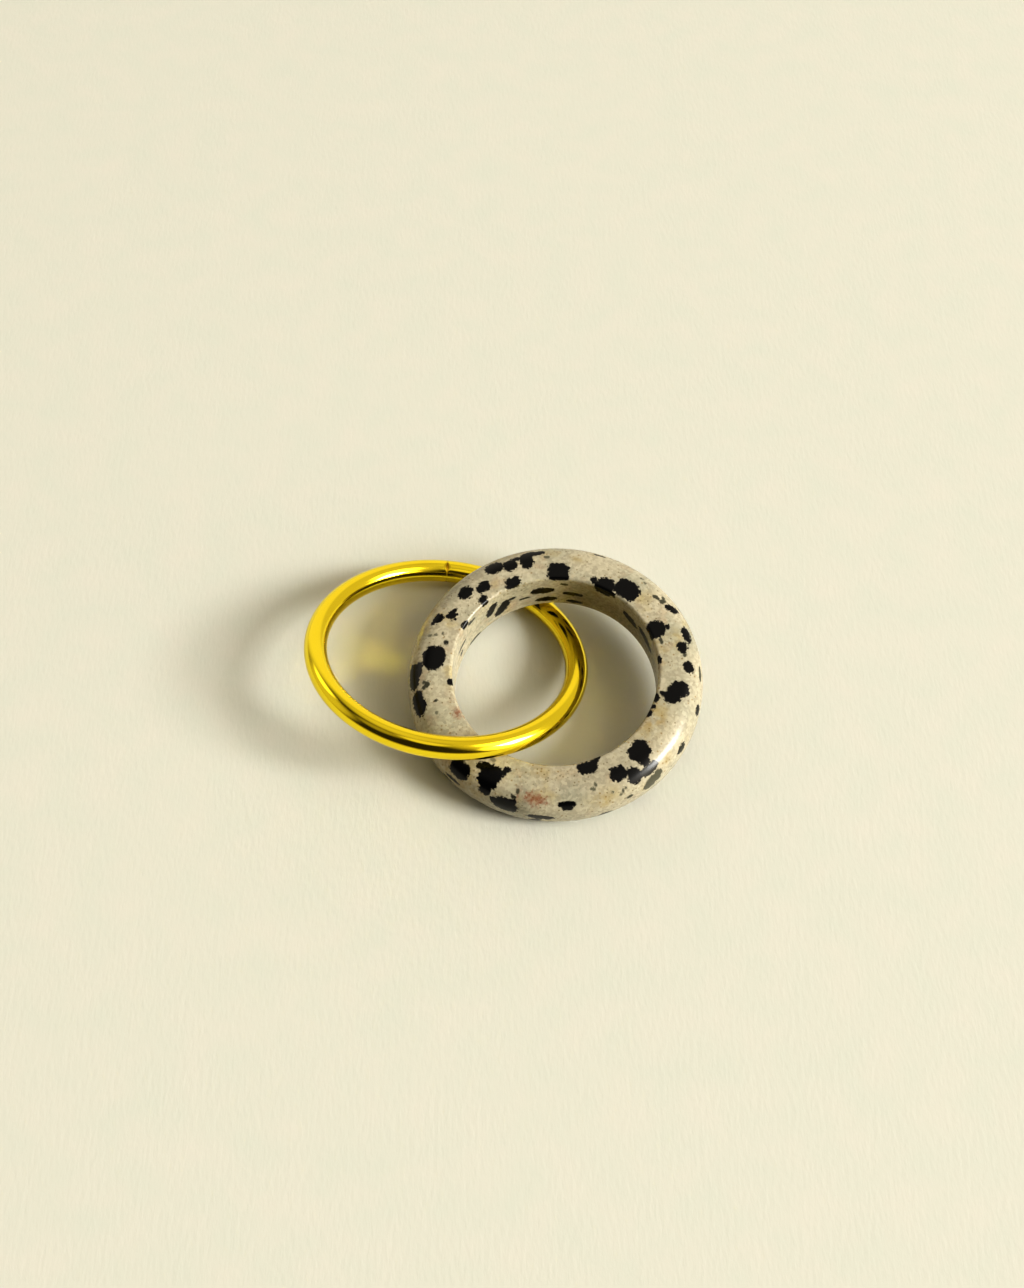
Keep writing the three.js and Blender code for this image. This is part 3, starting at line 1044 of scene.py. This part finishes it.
@dataclass
class StoneBand:
    """The thick band, carved from one stone: straight bore, flat side strips, rolled-over outside.

    Its bore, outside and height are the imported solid's. Sizes are in millimetres.
    """

    resting: RestingBand
    flat: float = 0.97
    bore_edge_radius: float = 0.28
    shoulder_power: float = 2.5
    steps_round: int = 540
    steps_across: int = 164
    outline_steps: int = 400
    spot_seed: int = 11
    hidden_half_size: tuple[float, float] = (0.3, 0.95)
    hidden_place: tuple[float, float] = (0.1, 0.9)
    hidden_tone: tuple[float, float] = (0.75, 1.0)
    off_spots: float = 9.0
    least_size: float = 1e-6
    least_fray: float = 0.05
    fray_share: float = 0.3
    most_fray: float = 0.17
    finish: PolishedDalmatianStone = PolishedDalmatianStone()

    def outline(self) -> tuple[np.ndarray, np.ndarray]:
        """Gives the closed section at even steps, from the outside's middle under the band and back.

        Returns:
            The points as radius and height, and the rise of each along the surface.
        """
        bore = self.resting.inner_radius
        half = self.resting.half_height
        wall_top = half - self.bore_edge_radius
        flat_start = bore + self.bore_edge_radius
        flat_end = flat_start + self.flat
        shoulder = self.resting.outer_radius - flat_end
        fine = np.linspace(0, 1, self.outline_steps)
        quarter = fine * math.pi / 2
        wall = np.column_stack([np.full(fine.size, bore), fine * wall_top])
        edge = np.column_stack([
            flat_start - self.bore_edge_radius * np.cos(quarter),
            wall_top + self.bore_edge_radius * np.sin(quarter),
        ])
        strip = np.column_stack([flat_start + fine * self.flat, np.full(fine.size, half)])
        share = 2 / self.shoulder_power
        rolled = np.column_stack([
            flat_end + shoulder * np.sin(quarter) ** share,
            half * np.cos(quarter) ** share,
        ])
        upper = np.vstack([wall, edge, strip, rolled])
        steps = np.linalg.norm(np.diff(upper, axis=0), axis=1)
        run = np.concatenate([[0], np.cumsum(steps)])
        rise = np.linspace(-run[-1], run[-1], self.steps_across, endpoint=False)
        radius = np.interp(np.abs(rise), run, upper[:, 0])
        height = np.interp(np.abs(rise), run, upper[:, 1]) * np.sign(rise)
        return np.column_stack([radius, height]), rise

    def hidden_spots(self) -> list[Spot]:
        """Draws the spots of the sides that the photograph doesn't show, the same in every run.

        Returns:
            The spots, one in each equal share of each belt.
        """
        draw = np.random.default_rng(self.spot_seed)
        spots = []
        for belt in HIDDEN_BELTS:
            gap = (belt.last_angle - belt.first_angle) / belt.count
            for i in range(belt.count):
                length, width = np.sort(draw.uniform(*self.hidden_half_size, 2))[::-1]
                spots.append(Spot(
                    belt.first_angle + (i + draw.uniform(*self.hidden_place)) * gap,
                    draw.uniform(belt.lowest, belt.highest), length, width,
                    turn=draw.uniform(0, 180), tone=draw.uniform(*self.hidden_tone),
                ))
        return spots

    def offsets(
        self, spot: Spot | Tinge, angle: np.ndarray, rise: np.ndarray, radius: np.ndarray,
    ) -> tuple[np.ndarray, np.ndarray]:
        """Gives how far each point lies from a spot's middle, along and across the band.

        Args:
            spot: the spot or tinge.
            angle: each point's degrees round the band.
            rise: each point's rise over the surface.
            radius: each point's distance from the band's axis.

        Returns:
            The two distances in millimetres.
        """
        along = np.radians((angle - spot.angle + 180) % 360 - 180) * radius
        whole = rise.max() - rise.min() + (rise[0, 1] - rise[0, 0])
        across = (rise - spot.rise + whole / 2) % whole - whole / 2
        return along, across

    def chart(self, angle: np.ndarray, rise: np.ndarray, radius: np.ndarray) -> dict[str, np.ndarray]:
        """Works out the pattern's values for every point of the band.

        Args:
            angle: each point's degrees round the band.
            rise: each point's rise over the surface.
            radius: each point's distance from the band's axis.

        Returns:
            For each attribute's name its values: the distance in millimetres to the nearest spot's
            edge, negative inside, the spot's tone and fray, and the amounts of specks, and of the darker
            ground with its painted shade.
        """
        far = np.full(angle.shape, self.off_spots)
        edges = {kind: far.copy() for kind in Kind}
        tones = {kind: np.zeros(angle.shape) for kind in Kind}
        fray = np.zeros(angle.shape)
        for spot in [*CHARTED_SPOTS, *self.hidden_spots()]:
            along, across = self.offsets(spot, angle, rise, radius)
            turn = math.radians(spot.turn)
            u = along * math.cos(turn) + across * math.sin(turn)
            v = across * math.cos(turn) - along * math.sin(turn)
            size = (np.abs(u) / spot.length) ** spot.power + (np.abs(v) / spot.width) ** spot.power
            size = np.maximum(size ** (1 / spot.power), self.least_size)
            edge = np.hypot(u, v) * (1 - 1 / size)
            nearer = edge < edges[spot.kind]
            edges[spot.kind][nearer] = edge[nearer]
            tones[spot.kind][nearer] = spot.tone
            if spot.kind is Kind.DARK:
                own_fray = self.least_fray + self.fray_share * min(spot.length, spot.width)
                fray[nearer] = min(own_fray, self.most_fray)
        return {
            "dark_edge": edges[Kind.DARK],
            "dark_tone": tones[Kind.DARK],
            "dark_fray": fray,
            "rust_edge": edges[Kind.RUST],
            "rust_tone": tones[Kind.RUST],
            "ochre_amount": self.strewn(OCHRE_TINGES, angle, rise, radius),
            "pepper_amount": self.strewn(PEPPER_TINGES, angle, rise, radius),
            # darker stone in places, painted shade in others
            "dark_ground_and_shade_amount": self.strewn(DARK_GROUND_AND_SHADE_TINGES, angle, rise, radius),
        }

    def strewn(
        self, tinges: tuple[Tinge, ...], angle: np.ndarray, rise: np.ndarray, radius: np.ndarray,
    ) -> np.ndarray:
        """Gives how strong a set of tinges is at every point.

        Args:
            tinges: the tinges.
            angle: each point's degrees round the band.
            rise: each point's rise over the surface.
            radius: each point's distance from the band's axis.

        Returns:
            The amount at each point, from zero to one.
        """
        amount = np.zeros(angle.shape)
        for tinge in tinges:
            along, across = self.offsets(tinge, angle, rise, radius)
            reach = (along / tinge.length) ** 2 + (across / tinge.width) ** 2
            amount = np.maximum(amount, tinge.amount * np.exp(-reach / 2))
        return amount

    def carved(self) -> bpy.types.Mesh:
        """Sweeps the section round as one closed mesh and gives every point its pattern's values.

        Returns:
            The mesh in millimetres, round the origin.
        """
        section, rise_steps = self.outline()
        turns = np.arange(self.steps_round) / self.steps_round
        angle, rise = np.meshgrid(turns * 360, rise_steps, indexing="ij")
        radius = np.broadcast_to(section[:, 0], angle.shape)
        height = np.broadcast_to(section[:, 1], angle.shape)
        around = np.radians(angle)
        points = np.stack([radius * np.cos(around), radius * np.sin(around), height], axis=-1)
        ring = np.arange(self.steps_round)[:, None]
        step = np.arange(self.steps_across)[None, :]
        next_ring = (ring + 1) % self.steps_round
        next_step = (step + 1) % self.steps_across
        corner = [
            ring * self.steps_across + step,
            ring * self.steps_across + next_step,
            next_ring * self.steps_across + next_step,
            next_ring * self.steps_across + step,
        ]
        faces = np.stack(corner, axis=-1).reshape(-1, 4)
        mesh = bpy.data.meshes.new("spotted_stone_band")
        mesh.from_pydata(points.reshape(-1, 3).tolist(), [], faces.tolist())
        for name, values in self.chart(angle, rise, radius).items():
            layer = mesh.attributes.new(name, "FLOAT", "POINT")
            layer.data.foreach_set("value", values.ravel().astype(np.float32))
        mesh.shade_smooth()
        return mesh

    def build(self) -> bpy.types.Object:
        """Carves the stone band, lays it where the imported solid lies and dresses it.

        Returns:
            The band's object.
        """
        mesh = self.carved()
        self.resting.place(mesh)
        mesh.materials.append(self.finish.build())
        band = bpy.data.objects.new("spotted_stone_band", mesh)
        bpy.context.scene.collection.objects.link(band)
        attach(band, "root")
        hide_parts(self.resting.node.name)
        return band


# Gold band

@dataclass
class GoldBand:
    """The thin band: one round wire bent to a circle and closed at a butt seam.

    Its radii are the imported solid's. Sizes are in millimetres. The seam is tight all round but for
    its open side, which is given as a share of the wire's radius outwards from the wire's middle.
    """

    resting: RestingBand
    seam_angle: float = 91.0
    seam_width: float = 0.9
    seam_tight_width: float = 0.08
    seam_depth: float = 0.02
    seam_step: float = 0.03
    seam_settle: float = 1.25
    seam_open_side: float = -0.42
    seam_open_reach: float = 0.5
    crowding: float = 0.75
    wave_size: float = 5.0
    wave_height: float = 0.012
    steps_along: int = 1100
    steps_round: int = 72
    finish: PolishedGold = PolishedGold()

    def tree_values(self) -> dict[str, float | int | bpy.types.Material]:
        """Gives the values of the tree's inputs, in millimetres and radians, and the finish.

        Returns:
            Each value by its input's name.
        """
        wire_radius = (self.resting.outer_radius - self.resting.inner_radius) / 2
        return {
            "Band radius": self.resting.inner_radius + wire_radius,
            "Wire radius": wire_radius,
            "Steps along": self.steps_along,
            "Steps round": self.steps_round,
            "Crowding": self.crowding,
            "Seam angle": math.radians(self.seam_angle),
            "Seam width": self.seam_width,
            "Seam tight width": self.seam_tight_width,
            "Seam depth": self.seam_depth,
            "Seam step": self.seam_step,
            "Seam settle": self.seam_settle,
            "Seam open side": self.seam_open_side,
            "Seam open reach": self.seam_open_reach,
            "Wave size": self.wave_size,
            "Wave height": self.wave_height,
            "Finish": self.finish.build(),
        }

    def tree(self, values: dict[str, float | int | bpy.types.Material]) -> bpy.types.GeometryNodeTree:
        """Builds the tree that sweeps the wire round the band, with its seam.

        Args:
            values: a value for each of the tree's inputs, by name.

        Returns:
            The tree.
        """
        tree = bpy.data.node_groups.new("bent_wire_band", "GeometryNodeTree")
        for name, value in values.items():
            tree.interface.new_socket(name, in_out="INPUT", socket_type=SOCKET_KINDS[type(value)])
        tree.interface.new_socket("Band", in_out="OUTPUT", socket_type="NodeSocketGeometry")
        sizes = add_node(tree, "NodeGroupInput").node.outputs
        path, along = self.bent_path(tree, sizes)
        profile = add_node(
            tree, "GeometryNodeCurvePrimitiveCircle", {"Resolution": sizes["Steps round"], "Radius": 1.0}
        )
        step = add_node(
            tree, "ShaderNodeMath", {0: sizes["Wire radius"], 1: FULL_TURN}, operation="MULTIPLY"
        )
        step = add_node(tree, "ShaderNodeMath", {0: step, 1: sizes["Steps round"]}, operation="DIVIDE")
        index = add_node(tree, "GeometryNodeInputIndex")
        around = add_node(tree, "ShaderNodeMath", {0: index, 1: step}, operation="MULTIPLY")
        profile = add_node(
            tree, "GeometryNodeStoreNamedAttribute",
            {"Geometry": profile, "Name": "around_wire", "Value": around}, domain="POINT",
        )
        wire = add_node(
            tree, "GeometryNodeCurveToMesh",
            {"Curve": path, "Profile Curve": profile, "Scale": self.thickness(tree, sizes)},
        )
        wire = self.seamed(tree, sizes, wire)
        smooth = add_node(tree, "GeometryNodeSetShadeSmooth", {"Geometry": wire})
        real = add_node(tree, "GeometryNodeRealizeInstances", {"Geometry": smooth})
        dressed = add_node(
            tree, "GeometryNodeSetMaterial", {"Geometry": real, "Material": sizes["Finish"]}
        )
        add_node(tree, "NodeGroupOutput", {"Band": dressed})
        return tree

    def bent_path(
        self, tree: bpy.types.NodeTree, sizes: bpy.types.NodeOutputs,
    ) -> tuple[bpy.types.NodeSocket, bpy.types.NodeSocket]:
        """Lays the wire's middle round the band, with its two ends a little out of line at the seam.

        Args:
            tree: the wire's tree.
            sizes: the tree's inputs.

        Returns:
            The path, and each point's length along it from the seam.
        """
        # Points crowd at the seam, because the share of half a turn is mixed with its own cube
        index = add_node(tree, "GeometryNodeInputIndex")
        half = add_node(tree, "ShaderNodeMath", {0: sizes["Steps along"], 1: 2.0}, operation="DIVIDE")
        share = add_node(tree, "ShaderNodeMath", {0: index, 1: half}, operation="DIVIDE")
        share = add_node(tree, "ShaderNodeMath", {0: share, 1: 1.0}, operation="SUBTRACT")
        cube = add_node(tree, "ShaderNodeMath", {0: share, 1: 3.0}, operation="POWER")
        crowded = add_node(
            tree, "ShaderNodeMix", {MIX_AMOUNT: sizes["Crowding"], MIX_LOW: share, MIX_HIGH: cube}
        )
        off_seam = add_node(tree, "ShaderNodeMath", {0: crowded, 1: math.pi}, operation="MULTIPLY")
        along = add_node(
            tree, "ShaderNodeMath", {0: off_seam, 1: sizes["Band radius"]}, operation="MULTIPLY"
        )
        past = add_node(tree, "ShaderNodeMath", {0: along, 1: 0.0}, operation="GREATER_THAN")
        settled = add_node(
            tree, "ShaderNodeMath", {0: along, 1: sizes["Seam settle"]}, operation="DIVIDE"
        )
        fading = add_node(tree, "ShaderNodeMath", {0: 1 / math.e, 1: settled}, operation="POWER")
        fading = add_node(tree, "ShaderNodeMath", {0: fading, 1: past}, operation="MULTIPLY")
        lift = add_node(tree, "ShaderNodeMath", {0: fading, 1: sizes["Seam step"]}, operation="MULTIPLY")
        reach = add_node(
            tree, "ShaderNodeMath", {0: sizes["Band radius"], 1: lift}, operation="SUBTRACT"
        )
        turn = add_node(
            tree, "ShaderNodeMath", {0: off_seam, 1: sizes["Seam angle"]}, operation="ADD"
        )
        shares = [
            add_node(tree, "ShaderNodeMath", {0: turn}, operation=part) for part in ("COSINE", "SINE")
        ]
        x, y = (
            add_node(tree, "ShaderNodeMath", {0: share, 1: reach}, operation="MULTIPLY")
            for share in shares
        )
        point = add_node(tree, "ShaderNodeCombineXYZ", {"X": x, "Y": y, "Z": lift})
        circle = add_node(
            tree, "GeometryNodeCurvePrimitiveCircle",
            {"Resolution": sizes["Steps along"], "Radius": sizes["Band radius"]},
        )
        path = add_node(tree, "GeometryNodeSetPosition", {"Geometry": circle, "Position": point})
        path = add_node(
            tree, "GeometryNodeStoreNamedAttribute",
            {"Geometry": path, "Name": "along_band", "Value": along}, domain="POINT",
        )
        return add_node(tree, "GeometryNodeSetCurveNormal", {"Curve": path}, mode="Z_UP"), along

    def thickness(
        self, tree: bpy.types.NodeTree, sizes: bpy.types.NodeOutputs,
    ) -> bpy.types.NodeSocket:
        """Gives the wire's radius along its length, which falls a little short of full in low waves.

        Args:
            tree: the wire's tree.
            sizes: the tree's inputs.

        Returns:
            The radius at each point of the path.
        """
        scale = add_node(tree, "ShaderNodeMath", {0: 1.0, 1: sizes["Wave size"]}, operation="DIVIDE")
        bend = add_node(tree, "ShaderNodeTexNoise", {"Scale": scale, "Detail": 0.0})
        loss = add_node(tree, "ShaderNodeMath", {0: bend, 1: sizes["Wave height"]}, operation="MULTIPLY")
        return add_node(tree, "ShaderNodeMath", {0: sizes["Wire radius"], 1: loss}, operation="SUBTRACT")

    def seamed(
        self, tree: bpy.types.NodeTree, sizes: bpy.types.NodeOutputs, wire: bpy.types.NodeSocket,
    ) -> bpy.types.NodeSocket:
        """Sinks the butt seam's groove, tight all round but for one place where it gapes.

        Args:
            tree: the wire's tree.
            sizes: the tree's inputs.
            wire: the swept wire.

        Returns:
            The wire with its groove, and the groove's shade stored on it.
        """
        place = add_node(tree, "GeometryNodeInputPosition")
        level = add_node(
            tree, "ShaderNodeVectorMath", {0: place, 1: (1.0, 1.0, 0.0)}, operation="MULTIPLY"
        )
        reach = add_node(tree, "ShaderNodeVectorMath", {0: level}, out="Value", operation="LENGTH")
        outward = add_node(
            tree, "ShaderNodeMath", {0: reach, 1: sizes["Band radius"]}, operation="SUBTRACT"
        )
        side = add_node(
            tree, "ShaderNodeMath", {0: outward, 1: sizes["Wire radius"]}, operation="DIVIDE"
        )
        away = add_node(
            tree, "ShaderNodeMath", {0: side, 1: sizes["Seam open side"]}, operation="SUBTRACT"
        )
        away = add_node(tree, "ShaderNodeMath", {0: away}, operation="ABSOLUTE")
        width = add_node(
            tree, "ShaderNodeMapRange",
            {
                "Value": away, "From Max": sizes["Seam open reach"],
                "To Min": sizes["Seam width"], "To Max": sizes["Seam tight width"],
            },
        )
        half = add_node(tree, "ShaderNodeMath", {0: width, 1: 2.0}, operation="DIVIDE")
        along = add_node(
            tree, "GeometryNodeInputNamedAttribute", {"Name": "along_band"}, out="Attribute",
            data_type="FLOAT",
        )
        off_seam = add_node(tree, "ShaderNodeMath", {0: along}, operation="ABSOLUTE")
        amount = add_node(
            tree, "ShaderNodeMapRange",
            {"Value": off_seam, "From Max": half, "To Min": 1.0, "To Max": 0.0},
            interpolation_type="SMOOTHSTEP",
        )
        sunk = add_node(tree, "ShaderNodeMath", {0: amount, 1: sizes["Seam depth"]}, operation="MULTIPLY")
        sunk = add_node(tree, "ShaderNodeMath", {0: sunk, 1: -1.0}, operation="MULTIPLY")
        facing = add_node(tree, "GeometryNodeInputNormal")
        offset = add_node(tree, "ShaderNodeVectorMath", {0: facing, "Scale": sunk}, operation="SCALE")
        shaded = add_node(
            tree, "GeometryNodeStoreNamedAttribute",
            {"Geometry": wire, "Name": "seam_shade", "Value": amount}, domain="POINT",
        )
        return add_node(tree, "GeometryNodeSetPosition", {"Geometry": shaded, "Offset": offset})

    def swept(self) -> bpy.types.Mesh:
        """Runs the tree on an empty carrier and keeps its result as a plain mesh.

        Returns:
            The mesh in millimetres, round the origin, with its finish on it.
        """
        values = self.tree_values()
        tree = self.tree(values)
        carrier = bpy.data.objects.new("wire_carrier", bpy.data.meshes.new("wire_carrier"))
        bpy.context.scene.collection.objects.link(carrier)
        sweep = carrier.modifiers.new("sweep", "NODES")
        sweep.node_group = tree
        for item in tree.interface.items_tree:
            if item.in_out == "INPUT":
                sweep[item.identifier] = values[item.name]
        drawn = carrier.evaluated_get(bpy.context.evaluated_depsgraph_get())
        mesh = bpy.data.meshes.new_from_object(drawn)
        carrier.modifiers.remove(sweep)
        bpy.data.objects.remove(carrier)
        mesh.name = "gold_wire_band"
        return mesh

    def build(self) -> bpy.types.Object:
        """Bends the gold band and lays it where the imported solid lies.

        Returns:
            The band's object.
        """
        mesh = self.swept()
        self.resting.place(mesh)
        band = bpy.data.objects.new("gold_wire_band", mesh)
        bpy.context.scene.collection.objects.link(band)
        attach(band, "root")
        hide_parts(self.resting.node.name)
        return band


# Surface

@dataclass(frozen=True)
class PaleSurface:
    """The plain card that the ring lies on, with its half width in metres."""

    half_width: float = 1.5
    divisions: int = 8
    finish: MatteCard = MatteCard()

    def build(self) -> bpy.types.Object:
        """Makes the card as a flat grid under the ring.

        Returns:
            The card's object.
        """
        steps = np.linspace(-self.half_width, self.half_width, self.divisions + 1)
        points = [(x, y, 0.0) for y in steps for x in steps]
        row = self.divisions + 1
        faces = [
            (j * row + i, j * row + i + 1, (j + 1) * row + i + 1, (j + 1) * row + i)
            for j in range(self.divisions) for i in range(self.divisions)
        ]
        mesh = bpy.data.meshes.new("pale_surface")
        mesh.from_pydata(points, [], faces)
        mesh.materials.append(self.finish.build())
        surface = bpy.data.objects.new("pale_surface", mesh)
        bpy.context.scene.collection.objects.link(surface)
        return surface


def main() -> None:
    """Builds the camera, the light, the surface and the two bands, and logs each band's face count."""
    logging.basicConfig(level=logging.INFO, format="%(message)s")
    scene = bpy.context.scene
    scene.view_settings.view_transform = "Standard"
    scene.view_settings.look = "High Contrast"
    # The light that the gold throws on the card stays sharp
    scene.cycles.blur_glossy = 0.0
    ViewCamera().build()
    LOG.info("camera in place")
    SoftRoom().build()
    LOG.info("window and room in place")
    PaleSurface().build()
    LOG.info("surface in place")
    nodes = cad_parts
    for band in (StoneBand(RestingBand(nodes["stone_band"])), GoldBand(RestingBand(nodes["gold_band"]))):
        made = band.build()
        LOG.info("%s: %d faces", made.name, len(made.data.polygons))


if __name__ == "__main__":
    main()
